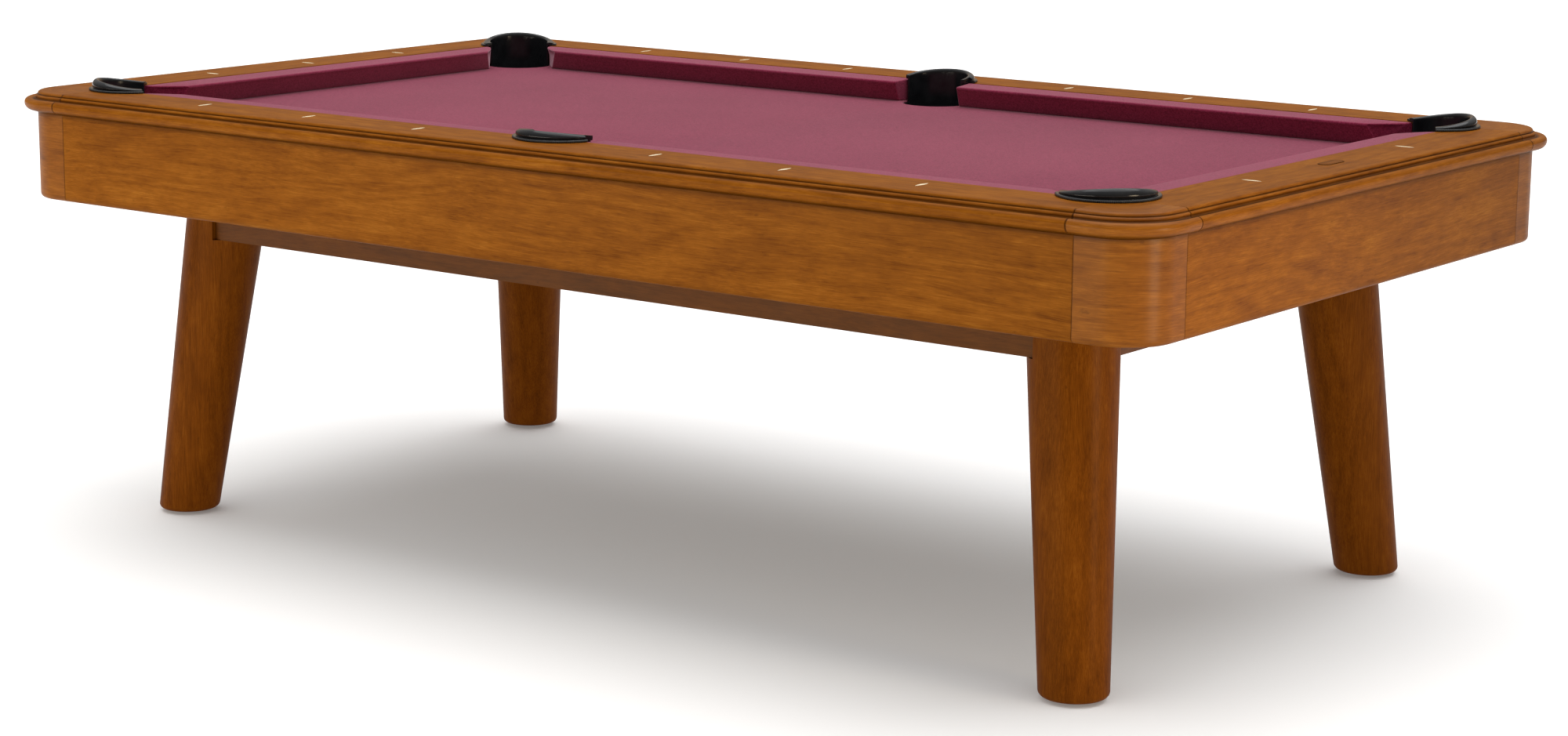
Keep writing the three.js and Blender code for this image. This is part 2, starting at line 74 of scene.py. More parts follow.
def spline(pts, n):
    """Catmull-Rom through the points, n steps to a span."""
    p = [(2 * pts[0][0] - pts[1][0], 2 * pts[0][1] - pts[1][1])] + list(pts)
    p.append((2 * pts[-1][0] - pts[-2][0], 2 * pts[-1][1] - pts[-2][1]))
    out = []
    for i in range(1, len(p) - 2):
        for k in range(n):
            t = k / n
            out.append(tuple(
                0.5 * (2 * b + (c - a) * t + (2 * a - 5 * b + 4 * c - d) * t * t + (3 * b - a - 3 * c + d) * t ** 3)
                for a, b, c, d in zip(p[i - 1], p[i], p[i + 1], p[i + 2])
            ))
    out.append(tuple(pts[-1]))
    return out


def inset(poly, amount):
    """The counter-clockwise outline moved inward by amount(point)."""
    out = []
    for i, p in enumerate(poly):
        a, b = poly[i - 1], poly[(i + 1) % len(poly)]
        n = Vector((0.0, 0.0))
        for u, v in ((a, p), (p, b)):
            d = Vector((v[0] - u[0], v[1] - u[1]))
            if d.length > 1e-9:
                n += Vector((d.y, -d.x)) / d.length
        if n.length > 1e-9:
            n.normalize()
        k = amount(p) if callable(amount) else amount
        out.append((p[0] - n.x * k, p[1] - n.y * k))
    return out


def loft(rings, wrap=False, caps=True):
    n = len(rings[0])
    verts = [p for r in rings for p in r]
    faces = []
    m = len(rings)
    for i in range(m if wrap else m - 1):
        for j in range(n):
            k = (i + 1) % m
            faces.append((i * n + j, i * n + (j + 1) % n, k * n + (j + 1) % n, k * n + j))
    if caps and not wrap:
        faces.append(tuple(range(n))[::-1])
        faces.append(tuple(range((m - 1) * n, m * n)))
    return verts, faces


def joined(*parts):
    verts, faces = [], []
    for v, f in parts:
        o = len(verts)
        verts += v
        faces += [tuple(i + o for i in q) for q in f]
    return verts, faces


def mirror(part, sx, sy):
    v, f = part
    return [(x * sx, y * sy, z) for x, y, z in v], f


def raw(name, part):
    """A closed mesh object from millimetres, normals outward."""
    verts, faces = part
    me = bpy.data.meshes.new(name)
    me.from_pydata([(x * 0.001, y * 0.001, z * 0.001) for x, y, z in verts], [], faces)
    bm = bmesh.new()
    bm.from_mesh(me)
    bmesh.ops.remove_doubles(bm, verts=bm.verts, dist=1e-6)
    bmesh.ops.recalc_face_normals(bm, faces=bm.faces)
    bm.to_mesh(me)
    bm.free()
    ob = bpy.data.objects.new(name, me)
    bpy.context.scene.collection.objects.link(ob)
    return ob


def cut(ob, tools):
    made = [raw("tool_%d" % i, t) for i, t in enumerate(tools)]
    for m in made:
        mod = ob.modifiers.new("cut", "BOOLEAN")
        mod.operation, mod.solver, mod.object = "DIFFERENCE", "EXACT", m
    bpy.context.view_layer.update()
    me = bpy.data.meshes.new_from_object(ob.evaluated_get(bpy.context.evaluated_depsgraph_get()))
    old = ob.data
    ob.modifiers.clear()
    ob.data = me
    bpy.data.meshes.remove(old)
    me.name = ob.name
    for m in made:
        d = m.data
        bpy.data.objects.remove(m)
        bpy.data.meshes.remove(d)
    return ob


def cylinder(cx, cy, r, z0, z1, n=96):
    ring = [(cx + r * math.cos(2 * math.pi * i / n), cy + r * math.sin(2 * math.pi * i / n)) for i in range(n)]
    return loft([[(x, y, z0) for x, y in ring], [(x, y, z1) for x, y in ring]])


def block(x0, x1, y0, y1, z0, z1):
    ring = [(x0, y0), (x1, y0), (x1, y1), (x0, y1)]
    return loft([[(x, y, z0) for x, y in ring], [(x, y, z1) for x, y in ring]])


def smooth(ob, angle=30):
    me = ob.data
    me.shade_smooth()
    me.set_sharp_from_angle(angle=math.radians(angle))


seeds = random.Random(7)


def near_joint(x, y, extra):
    """Within the eased edge of a joint between a corner piece and its neighbour."""
    return (abs(x - CX) < 1.15 + extra and y > NY + WOOD_IN + 40) or (abs(y - CY) < 1.15 + extra and x > NX + WOOD_IN + 40)


def mould_painted_shade_and_joints(c):
    """How dark the wood is painted here: painted shade in the moulding's grooves and under the bullnose, and dark
    joints.
    """
    x, y, z = abs(c.x) * 1000, abs(c.y) * 1000, c.z * 1000 - T
    if x > RX and y > RY:
        o = math.hypot(x - RX, y - RY) - CORNER_R
    else:
        o = max(x - XA, y - YA)
    g = 0.0
    # painted shade in the groove, the step and the cove
    for gx, shade_lines_fac, w, k in ((-0.7, -5.6, 1.7, 0.95), (6.2, -14.2, 3.0, 1.0), (3.4, -11.8, 1.6, 0.6)):
        g = max(g, k * math.exp(-((o - gx) ** 2 + (z - shade_lines_fac) ** 2) / (w * w)))
    # painted shade under the bullnose
    g = max(g, 0.85 * min(1.0, max(0.0, (-27.0 - z) / 7.0)))
    # dark joints between the pieces
    if z < -0.2 and near_joint(x, y, 0.0):
        g = max(g, 0.8)
    return g


def board_painted_shade_and_joints(c):
    z = c.z * 1000
    # dark joints between the pieces
    if near_joint(abs(c.x) * 1000, abs(c.y) * 1000, 0.0):
        return 0.45
    # painted shade along the apron's top under the moulding; darker towards the bottom edge
    return max(0.75 * max(0.0, 1 - (APRON_TOP - z) / 9.0), 0.35 * max(0.0, 1 - (z - APRON_BOTTOM) / 11.0))


def grained(ob, fn, painted_shade_and_dark_lines=None):
    """Stores, at each vertex, how far it lies along and across the wood's grain (metres)."""
    off = (seeds.uniform(-9, 9), seeds.uniform(-9, 9), seeds.uniform(-9, 9))
    me = ob.data
    a = me.attributes.new("grain", "FLOAT_VECTOR", "POINT")
    flat = []
    for v in me.vertices:
        g = fn(v.co)
        flat += [g[0] + off[0], g[1] + off[1], g[2] + off[2]]
    a.data.foreach_set("vector", flat)
    # optional per-vertex darkening: painted shade in recesses and under mouldings, and dark joints
    if painted_shade_and_dark_lines:
        a = me.attributes.new("painted_shade_and_dark_lines", "FLOAT", "POINT")
        a.data.foreach_set("value", [painted_shade_and_dark_lines(v.co) for v in me.vertices])


def along_x(c):
    return (c.x, c.y, c.z)


def along_y(c):
    return (c.y, c.x, c.z)


def along_z(c):
    return (c.z, c.x, c.y)


def round_corner(sx, sy, reach=0.1):
    def fn(c):
        dx, dy = c.x * sx - RX * 0.001, c.y * sy - RY * 0.001
        if dx < 0 and dy > dx:
            return (math.pi / 2 * reach - dx, dy, c.z)
        if dy < 0:
            return (dy, dx, c.z)
        return (math.atan2(dy, dx) * reach, math.hypot(dx, dy), c.z)
    return fn


def finish(ob, mat, body="table", replaces=(), angle=30):
    smooth(ob, angle)
    ob.data.materials.clear()
    ob.data.materials.append(mat)
    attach(ob, body)
    if replaces:
        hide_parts(*replaces)
    return ob


# ---- materials -------------------------------------------------------------


class Graph:
    def __init__(self, name):
        self.mat = bpy.data.materials.new(name)
        self.mat.use_nodes = True
        self.tree = self.mat.node_tree
        self.bsdf = self.tree.nodes["Principled BSDF"]

    def node(self, kind, inputs=None, **props):
        n = self.tree.nodes.new(kind)
        for k, v in props.items():
            setattr(n, k, v)
        for k, v in (inputs or {}).items():
            self.put(v, n.inputs[k])
        return n

    def put(self, value, socket):
        if isinstance(value, bpy.types.NodeSocket):
            self.tree.links.new(value, socket)
        else:
            socket.default_value = value

    def math(self, op, a, b=0.0, c=None, clamp=False):
        n = self.tree.nodes.new("ShaderNodeMath")
        n.operation, n.use_clamp = op, clamp
        self.put(a, n.inputs[0])
        self.put(b, n.inputs[1])
        if c is not None:
            self.put(c, n.inputs[2])
        return n.outputs[0]

    def scaled(self, vec, s):
        n = self.tree.nodes.new("ShaderNodeVectorMath")
        n.operation = "MULTIPLY"
        self.put(vec, n.inputs[0])
        n.inputs[1].default_value = s
        return n.outputs[0]

    def noise(self, vec, s, detail=2.0, rough=0.5, color=False):
        n = self.node("ShaderNodeTexNoise", {"Vector": self.scaled(vec, s), "Scale": 1.0, "Detail": detail, "Roughness": rough})
        return n.outputs["Color" if color else "Fac"]

    def ramp(self, fac, stops, smooth_=False):
        n = self.tree.nodes.new("ShaderNodeValToRGB")
        self.put(fac, n.inputs[0])
        e = n.color_ramp.elements
        while len(e) < len(stops):
            e.new(0.5)
        for el, (p, c) in zip(e, stops):
            el.position = p
            el.color = (*c, 1.0) if len(c) == 3 else c
        if smooth_:
            n.color_ramp.interpolation = "EASE"
        return n.outputs[0]

    def mix(self, fac, a, b, blend="MIX"):
        n = self.tree.nodes.new("ShaderNodeMix")
        n.data_type, n.blend_type = "RGBA", blend
        self.put(fac, n.inputs[0])
        for v, i in ((a, 6), (b, 7)):
            self.put((*v, 1.0) if isinstance(v, tuple) and len(v) == 3 else v, n.inputs[i])
        return n.outputs[2]

    def bump(self, height, strength, distance):
        n = self.node("ShaderNodeBump", {"Height": height, "Strength": strength, "Distance": distance})
        self.tree.links.new(n.outputs[0], self.bsdf.inputs["Normal"])

    def set(self, **kw):
        names = {"color": "Base Color", "rough": "Roughness", "metal": "Metallic", "spec": "Specular IOR Level",
                 "coat": "Coat Weight", "coat_rough": "Coat Roughness", "sheen": "Sheen Weight",
                 "sheen_rough": "Sheen Roughness", "ior": "IOR"}
        for k, v in kw.items():
            self.put((*v, 1.0) if isinstance(v, tuple) and len(v) == 3 else v, self.bsdf.inputs[names[k]])


def wood(name, dark, mid, light, attr=True, swizzle=None, figure=0.08, rough=0.42, spec=0.02, coat=0.05, marks=0.5, mottle=0.38):
    g = Graph(name)
    if attr:
        vec = g.node("ShaderNodeAttribute", attribute_name="grain").outputs["Vector"]
    else:
        co = g.node("ShaderNodeTexCoord").outputs["Object"]
        sep = g.node("ShaderNodeSeparateXYZ", {0: co})
        vec = g.node("ShaderNodeCombineXYZ", {i: sep.outputs[j] for i, j in enumerate(swizzle)}).outputs[0]
    # the grain wanders a little
    w = g.node("ShaderNodeVectorMath", {0: g.noise(vec, (1.6, 5, 5), 2, color=True), 1: (0.5, 0.5, 0.5)}, operation="SUBTRACT").outputs[0]
    w = g.scaled(w, (0.0, 0.045, 0.045))
    v2 = g.node("ShaderNodeVectorMath", {0: vec, 1: w}, operation="ADD").outputs[0]
    streak = g.noise(v2, (7, 230, 230), 4, 0.6)
    fibre = g.noise(v2, (26, 1000, 1000), 2, 0.6)
    cloud = g.noise(vec, (6, 15, 15), 3, 0.55)
    blotch = g.noise(vec, (26, 60, 60), 3, 0.6)
    rings = g.noise(v2, (0.9, 8, 8), 1, 0.4)
    rings = g.math("SINE", g.math("MULTIPLY", rings, 75.0))
    rings = g.math("POWER", g.math("MULTIPLY_ADD", rings, 0.5, 0.5), 2.5)
    f = g.math("MULTIPLY_ADD", g.math("SUBTRACT", streak, 0.5), 0.38, 0.5)
    f = g.math("MULTIPLY_ADD", g.math("SUBTRACT", fibre, 0.5), 0.60, f)
    f = g.math("MULTIPLY_ADD", g.math("SUBTRACT", cloud, 0.5), mottle, f)
    f = g.math("MULTIPLY_ADD", g.math("SUBTRACT", blotch, 0.5), mottle * 0.85, f)
    f = g.math("MULTIPLY_ADD", rings, -figure, f)
    col = g.ramp(f, [(0.18, dark), (0.52, mid), (0.86, light)])
    pore = g.noise(v2, (70, 2400, 2400), 1, 0.5)
    pore = g.math("MULTIPLY", g.math("MULTIPLY_ADD", pore, 8.0, -4.75, clamp=True), 0.30)
    col = g.mix(pore, col, tuple(c * 0.45 for c in dark))
    # small dark flecks and mineral marks, few and scattered
    fleck = g.noise(v2, (34, 95, 95), 3, 0.6)
    fleck = g.math("MULTIPLY", g.math("MULTIPLY_ADD", fleck, 9.0, -6.1, clamp=True), marks)
    col = g.mix(fleck, col, tuple(c * 0.5 for c in dark))
    if attr:
        # painted shade in grooves and under mouldings, and dark joints, darkening the colour
        shade_lines_fac = g.node("ShaderNodeAttribute", attribute_name="painted_shade_and_dark_lines").outputs["Fac"]
        col = g.mix(g.math("MULTIPLY", shade_lines_fac, 0.82), col, tuple(c * 0.22 for c in dark))
    g.set(color=col, spec=spec, rough=g.math("MULTIPLY_ADD", cloud, 0.16, rough - 0.06), coat=coat, coat_rough=0.28)
    g.bsdf.inputs["Specular Tint"].default_value = (1.0, 0.66, 0.34, 1.0)
    h = g.math("ADD", g.math("MULTIPLY", fibre, 0.5), g.math("MULTIPLY", pore, -1.4))
    g.bump(h, 0.25, 0.00008)
    return g.mat


MED = ((0.108, 0.0280, 0.0012), (0.232, 0.0715, 0.0042), (0.365, 0.135, 0.0130))
DARKER = ((0.070, 0.0165, 0.0009), (0.156, 0.0415, 0.0022), (0.246, 0.0770, 0.0062))
# frame wood: a darker copy of the cabinet wood, painted shade for the frame under the table
UNDER_PAINTED_SHADE = ((0.050, 0.0120, 0.0010), (0.098, 0.0260, 0.0020), (0.140, 0.042, 0.0045))
m_wood = wood("cabinet_wood", *MED)
m_legs = wood("leg_wood", *DARKER, figure=0.07, coat=0.03, mottle=0.36)
m_block = wood("corner_wood", *MED, coat=0.18)
m_plate = wood("plate_wood", *MED, figure=0.04, marks=0.1)
m_beam_x = wood("frame_wood_x", *UNDER_PAINTED_SHADE, attr=False, swizzle=(0, 1, 2), rough=0.52, spec=0.25)
m_beam_y = wood("frame_wood_y", *UNDER_PAINTED_SHADE, attr=False, swizzle=(1, 0, 2), rough=0.52, spec=0.25)
m_beam_z = wood("frame_wood_z", *UNDER_PAINTED_SHADE, attr=False, swizzle=(2, 0, 1), rough=0.52, spec=0.25)


def cloth(name, dark, light, sheen=0.06):
    g = Graph(name)
    co = g.node("ShaderNodeTexCoord").outputs["Object"]
    fine = g.noise(co, (620, 620, 620), 2, 0.65)
    mid = g.noise(co, (280, 280, 280), 2, 0.6)
    broad = g.noise(co, (3.5, 3.5, 3.5), 2, 0.5)
    f = g.math("MULTIPLY_ADD", g.math("SUBTRACT", fine, 0.5), 2.1, 0.5)
    f = g.math("MULTIPLY_ADD", g.math("SUBTRACT", mid, 0.5), 1.15, f)
    f = g.math("MULTIPLY_ADD", g.math("SUBTRACT", broad, 0.5), 0.30, f)
    col = g.ramp(f, [(0.1, dark), (0.9, light)])
    sep = g.node("ShaderNodeSeparateXYZ", {0: co})
    k = 2 * math.pi / 0.0011
    warp = g.math("SINE", g.math("MULTIPLY", sep.outputs[0], k))
    weft = g.math("SINE", g.math("MULTIPLY", sep.outputs[1], k))
    h = g.math("MULTIPLY_ADD", g.math("MULTIPLY", warp, weft), 0.5, g.math("MULTIPLY", fine, 1.3))
    g.set(color=col, rough=g.math("MULTIPLY_ADD", mid, 0.08, 0.86), spec=0.06, sheen=sheen, sheen_rough=0.45)
    g.bsdf.inputs["Sheen Tint"].default_value = (1.0, 0.74, 0.84, 1.0)
    g.bump(h, 0.35, 0.00022)
    return g.mat


m_bed = cloth("bed_cloth", (0.118, 0.0060, 0.026), (0.276, 0.040, 0.080), sheen=0.33)
# the cushions: the bed's cloth with redder colour set for how light falls on them, painted light
m_cushion_painted_light = cloth("cushion_cloth", (0.132, 0.0040, 0.026), (0.292, 0.027, 0.074), sheen=0.47)


def rubber(name):
    g = Graph(name)
    vec = g.node("ShaderNodeAttribute", attribute_name="around").outputs["Vector"]
    sep = g.node("ShaderNodeSeparateXYZ", {0: vec})
    co = g.node("ShaderNodeTexCoord").outputs["Object"]
    n1 = g.noise(co, (40, 40, 40), 3, 0.5)
    n2 = g.noise(co, (900, 900, 900), 2, 0.5)
    ridge = g.math("SINE", g.math("MULTIPLY", sep.outputs[0], 2 * math.pi / 0.0030))
    knurl = g.math("MULTIPLY", g.math("MULTIPLY_ADD", ridge, 0.5, 0.5), sep.outputs[1])
    col = g.ramp(n1, [(0.25, (0.0055, 0.006, 0.007)), (0.8, (0.016, 0.017, 0.019))])
    # grey on the crests of the lip's knurl: partly wear, partly painted glint
    wear_and_glint = g.math("MULTIPLY", knurl, g.math("MULTIPLY_ADD", n1, 1.2, -0.1, clamp=True))
    col = g.mix(g.math("MULTIPLY", wear_and_glint, 0.35), col, (0.16, 0.165, 0.17))
    r = g.math("MULTIPLY_ADD", n1, 0.12, 0.10)
    r = g.math("MULTIPLY_ADD", sep.outputs[1], 0.12, r)
    g.set(color=col, rough=r, spec=0.24)
    h = g.math("MULTIPLY_ADD", n2, 0.12, knurl)
    g.bump(h, 0.5, 0.0006)
    return g.mat


m_rubber = rubber("pocket_rubber")


def simple(name, c0, c1, rough, s, metal=0.0, spec=0.5, bump=0.2, dist=0.0002, stretch=None):
    g = Graph(name)
    co = g.node("ShaderNodeTexCoord").outputs["Object"]
    sc = stretch or (s, s, s)
    a = g.noise(co, sc, 4, 0.6)
    b = g.noise(co, tuple(v * 9 for v in sc), 2, 0.5)
    f = g.math("MULTIPLY_ADD", g.math("SUBTRACT", b, 0.5), 0.4, a)
    g.set(color=g.ramp(f, [(0.3, c0), (0.72, c1)]), rough=g.math("MULTIPLY_ADD", a, 0.2, rough - 0.1), metal=metal, spec=spec)
    g.bump(b, bump, dist)
    return g.mat


m_slate = simple("slate", (0.045, 0.05, 0.055), (0.11, 0.115, 0.12), 0.7, 18, bump=0.4, dist=0.0006)
m_sight = simple("sight_inlay", (0.72, 0.58, 0.36), (0.95, 0.84, 0.60), 0.26, 90, spec=0.5, bump=0.05)
m_steel = simple("zinc_steel", (0.34, 0.33, 0.30), (0.60, 0.59, 0.55), 0.38, 120, metal=1.0, bump=0.15)
m_foot = simple("foot_plastic", (0.010, 0.010, 0.011), (0.026, 0.026, 0.028), 0.55, 60, bump=0.3)

# ---- rails, caps, aprons, corner blocks ---------------------------------------
MOULD = (
    spline([(159, 0), (161.8, -0.4), (164.2, -1.8), (165.4, -4.2), (165.1, -5.8)], 4)
    + spline([(165.1, -5.8), (167.6, -6.5), (169.5, -8.1), (169.6, -10.0), (169.1, -11.3)], 4)[1:]
    + spline([(169.1, -11.3), (170.3, -13.3), (173.4, -14.6), (178.0, -12.9), (182.4, -12.0), (186.4, -13.9),
              (188.9, -17.4), (189.5, -21.3), (188.4, -26.0), (185.6, -30.0), (181.6, -32.6), (175, -34.0), (169, -36.8)], 4)[1:]
)
STEP = FACE - APRON_T - 0.3


def rail_section(d):
    pts = [(WOOD_IN, -40.4), (STEP + d, -40.4), (STEP + d, -36.8)]
    pts += [(s + d, z) for s, z in MOULD[::-1]]
    pts += [(140, 0), (WOOD_IN + 1.0, 0), (WOOD_IN + 0.3, -0.3), (WOOD_IN, -1.0)]
    return ccw(pts)


def seam(p):
    """The moulding's ends are eased, the flat top's joint is tight."""
    return 0.6 if p[0] > 156 and p[1] > -36 else 0.06


def swept(section, u0, u1, place, ease=seam, chamfer=0.8):
    ins = inset(section, ease)
    rings = [(u0, ins), (u0 + chamfer, section), (u0 + 2.2, section), (u1 - 2.2, section), (u1 - chamfer, section), (u1, ins)]
    return loft([[place(u, s, z) for s, z in ring] for u, ring in rings])


H = 0.15
side_sec, end_sec = rail_section(-2), rail_section(2)
holes = {(sx, sy): cylinder(PC[0] * sx, PC[1] * sy, HOLE_R, T - 60, T + 10) for sx in (-1, 1) for sy in (-1, 1)}
for name, sy in (("front", -1), ("back", 1)):
    ob = raw("rail_" + name + "_moulded", swept(side_sec, -CX + H, CX - H, lambda u, s, z: (u, sy * (NY + s), T + z)))
    cut(ob, [holes[(-1, sy)], holes[(1, sy)], cylinder(0, PS[1] * sy, HOLE_R, T - 60, T + 10)])
    grained(ob, along_x, mould_painted_shade_and_joints)
    finish(ob, m_wood, replaces=("rail_" + name,))
for name, sx in (("left", -1), ("right", 1)):
    ob = raw("rail_" + name + "_moulded", swept(end_sec, -CY + H, CY - H, lambda u, s, z: (sx * (NX + s), u, T + z)))
    cut(ob, [holes[(sx, -1)], holes[(sx, 1)]])
    grained(ob, along_y, mould_painted_shade_and_joints)
    finish(ob, m_wood, replaces=("rail_" + name,))


def around_corner(section, sx, sy, ease, chamfer=0.8, inner=None, n=40):
    """The section (o, z) run straight, round the corner and straight again; o is outward of the apron's face."""
    ins = inset(section, ease)
    st = [(CX + H, RY, 90.0, ins), (CX + H + chamfer, RY, 90.0, section), (CX + 2.2, RY, 90.0, section), (RX - 6, RY, 90.0, section)]
    st += [(RX, RY, 90.0 * (1 - i / n), section) for i in range(n + 1)]
    st += [(RX, RY - 6, 0.0, section), (RX, CY + 2.2, 0.0, section), (RX, CY + H + chamfer, 0.0, section), (RX, CY + H, 0.0, ins)]
    rings = []
    for k, (bx, by, deg, sec) in enumerate(st):
        a = math.radians(deg)
        ring = [(bx + math.cos(a) * (CORNER_R + o), by + math.sin(a) * (CORNER_R + o), z) for o, z in sec]
        if inner:
            if k < 3:
                x = bx
                ix, iy = x, PC[1] + math.sqrt(inner ** 2 - (x - PC[0]) ** 2)
            elif k > len(st) - 4:
                y = by
                ix, iy = PC[0] + math.sqrt(inner ** 2 - (y - PC[1]) ** 2), y
            else:
                a0, a1 = math.radians(56), math.radians(27)
                t = (k - 2) / (len(st) - 5)
                ix, iy = PC[0] + inner * math.cos(a0 + (a1 - a0) * t), PC[1] + inner * math.sin(a0 + (a1 - a0) * t)
            ring = [(ix, iy, sec[0][1])] + ring + [(ix, iy, sec[-1][1])]
        rings.append(ring)
    return mirror(loft(rings), sx, sy)


# open section of the caps; the inner edge lies inside the pocket's hole, which is cut afterwards
cap_sec = [(-APRON_T - 0.3, T - 40.4), (-APRON_T - 0.3, T - 36.8)]
cap_sec += [(s - FACE, T + z) for s, z in MOULD[::-1]]
cap_sec += [(-30.0, T)]


def cap_ease(p):
    return 0.6 if p[0] > 156 - FACE and p[1] > T - 36 else 0.0


def round_over(outer, n=8):
    out = []
    for i in range(n + 1):
        a = math.pi / 2 * i / n
        out.append((outer - EDGE_R + EDGE_R * math.sin(a), APRON_BOTTOM + EDGE_R - EDGE_R * math.cos(a)))
    return out


def apron_section(outer, t):
    return ccw([(outer - t + 1, APRON_BOTTOM)] + round_over(outer)
               + [(outer, z) for z in (APRON_BOTTOM + 11, APRON_BOTTOM + 40, APRON_BOTTOM + 90, APRON_TOP - 40, APRON_TOP - 9, APRON_TOP - 5)]
            + [(outer, APRON_TOP - 0.8), (outer - 0.8, APRON_TOP), (outer - t, APRON_TOP), (outer - t, APRON_BOTTOM + 1)])


block_sec = apron_section(0.0, APRON_T)
for name, sx, sy in CORNERS:
    ob = raw("corner_cap_" + name + "_moulded", around_corner(cap_sec, sx, sy, cap_ease, inner=58.0))
    cut(ob, [holes[(sx, sy)]])
    grained(ob, round_corner(sx, sy), mould_painted_shade_and_joints)
    finish(ob, m_block, replaces=("corner_cap_" + name,))
    ob = raw("corner_block_" + name + "_round", around_corner(block_sec, sx, sy, 0.35, 0.35))
    grained(ob, round_corner(sx, sy, 0.084), board_painted_shade_and_joints)
    finish(ob, m_block, replaces=("corner_block_" + name,))

for name, sy in (("front", -1), ("back", 1)):
    ob = raw("apron_" + name + "_board", swept(apron_section(YA, APRON_T), -CX + H, CX - H, lambda u, y, z: (u, sy * y, z), 0.35, 0.35))
    grained(ob, along_x, board_painted_shade_and_joints)
    finish(ob, m_wood, replaces=("apron_" + name,))
for name, sx in (("left", -1), ("right", 1)):
    ob = raw("apron_" + name + "_board", swept(apron_section(XA, APRON_T), -CY + H, CY - H, lambda u, x, z: (sx * x, u, z), 0.35, 0.35))
    grained(ob, along_y, board_painted_shade_and_joints)
    finish(ob, m_wood, replaces=("apron_" + name,))

# ---- cushions ------------------------------------------------------------------
W = WOOD_IN - 0.3
NOSE = spline([(11.0, -38.0), (6.0, -23.5), (1.2, -9.4), (0.15, -7.6), (0.0, -6.2), (0.4, -4.6), (1.7, -3.3), (4.5, -2.65), (12, -2.35)], 3)
CUSH = ccw([(W - 0.6, -40.4), (13.4, -40.4), (12.0, -39.7)] + NOSE
           + [(25, -1.85), (40, -1.3), (51.2, -0.9), (52.8, -1.0), (54.0, -1.7), (W - 0.1, -3.2), (W, -12), (W, -39.6)])


def interp(table, s):
    if s <= table[0][0]:
        return table[0][1]
    for (a, va), (b, vb) in zip(table, table[1:]):
        if s <= b:
            return va + (vb - va) * (s - a) / (b - a)
    return table[-1][1]


corner_end = [(-2, -98.0), (34, -46.0)] + [(s, 20 - math.sqrt(65.0 ** 2 - (s - 22) ** 2)) for s in range(36, 61, 2)]
side_end = [(-2, 70.0), (34, 66.5)] + [(s, math.sqrt(65.0 ** 2 - (s - 37) ** 2)) for s in range(36, 61, 2)]


def cushion(start, stop, place):
    rings = []
    R = 2.6
    steps = [(R * (1 - math.sin(a)), R * (1 - math.cos(a))) for a in (math.pi / 2 * k / 4 for k in range(4, -1, -1))]

    def ring(side, d, k):
        sec = inset(CUSH, lambda p: k if p[0] < 50 else k * 0.3)
        out = []
        for (s0, z0), (s, z) in zip(CUSH, sec):
            u = start(s0) + d if side == 0 else stop(s0) - d
            out.append(place(u, s, z))
        return out

    for d, k in steps:
        rings.append(ring(0, d, k))
    for t in (0.1, 0.3, 0.5, 0.7, 0.9):
        rings.append([place(start(s) + (stop(s) - start(s)) * t, s, z) for s, z in CUSH])
    for d, k in steps[::-1]:
        rings.append(ring(1, d, k))
    return loft(rings)


for name, sx, sy in CORNERS:
    ob = raw("cushion_" + name + "_covered", cushion(
        lambda s: interp(side_end, s), lambda s: NX + interp(corner_end, s),
        lambda u, s, z: (sx * u, sy * (NY + s), T + z)))
    finish(ob, m_cushion_painted_light, replaces=("cushion_" + name,))
for name, sx in (("left", -1), ("right", 1)):
    ob = raw("cushion_" + name + "_covered", cushion(
        lambda s: -(NY + interp(corner_end, s)), lambda s: NY + interp(corner_end, s),
        lambda u, s, z: (sx * (NX + s), u, T + z)))
    finish(ob, m_cushion_painted_light, replaces=("cushion_" + name,))

# ---- bed cloth: one sheet stretched over the slates, turned down into the pockets --
EX, EY = SLATE_X - 2, SLATE_Y - 2
ARC = CORNER_R - APRON_T - 0.6
outline = []
for sx, sy in ((1, 1), (-1, 1), (-1, -1), (1, -1)):
    a0, a1 = math.acos((EX - RX) / ARC), math.asin((EY - RY) / ARC)
    pts = [(RX + ARC * math.cos(a), RY + ARC * math.sin(a)) for a in (a0 + (a1 - a0) * i / 3 for i in range(4))]
    pts = [(x * sx, y * sy) for x, y in pts]
    outline += pts if sx * sy > 0 else pts[::-1]
clean = []
for p in outline:
    if not clean or math.dist(p, clean[-1]) > 0.05:
        clean.append(p)
outline = clean
NH = 72
ROLL = 65.9
hole_c = [(PC[0] * sx, PC[1] * sy) for sx, sy in ((1, 1), (-1, 1), (-1, -1), (1, -1))] + [(0, PS[1]), (0, -PS[1])]
flat_v = [Vector(p) for p in outline]
loops = [list(range(len(outline)))]
for cx, cy in hole_c:
    o = len(flat_v)
    flat_v += [Vector((cx + ROLL * math.cos(2 * math.pi * i / NH), cy + ROLL * math.sin(2 * math.pi * i / NH))) for i in range(NH)]
    loops.append([o + i for i in range(NH)])
edges = [(l[i], l[(i + 1) % len(l)]) for l in loops for i in range(len(l))]
dv, de, df, ov, oe, of_ = delaunay_2d_cdt(flat_v, edges, [], 0, 1e-5)


def inside(x, y):
    if abs(x) > EX + 0.01 or abs(y) > EY + 0.01:
        return False
    dx, dy = abs(x) - RX, abs(y) - RY
    if dx > 0 and dy > 0 and math.hypot(dx, dy) > ARC:
        return False
    return all(math.hypot(x - cx, y - cy) > ROLL - 0.01 - 0.2 for cx, cy in hole_c)


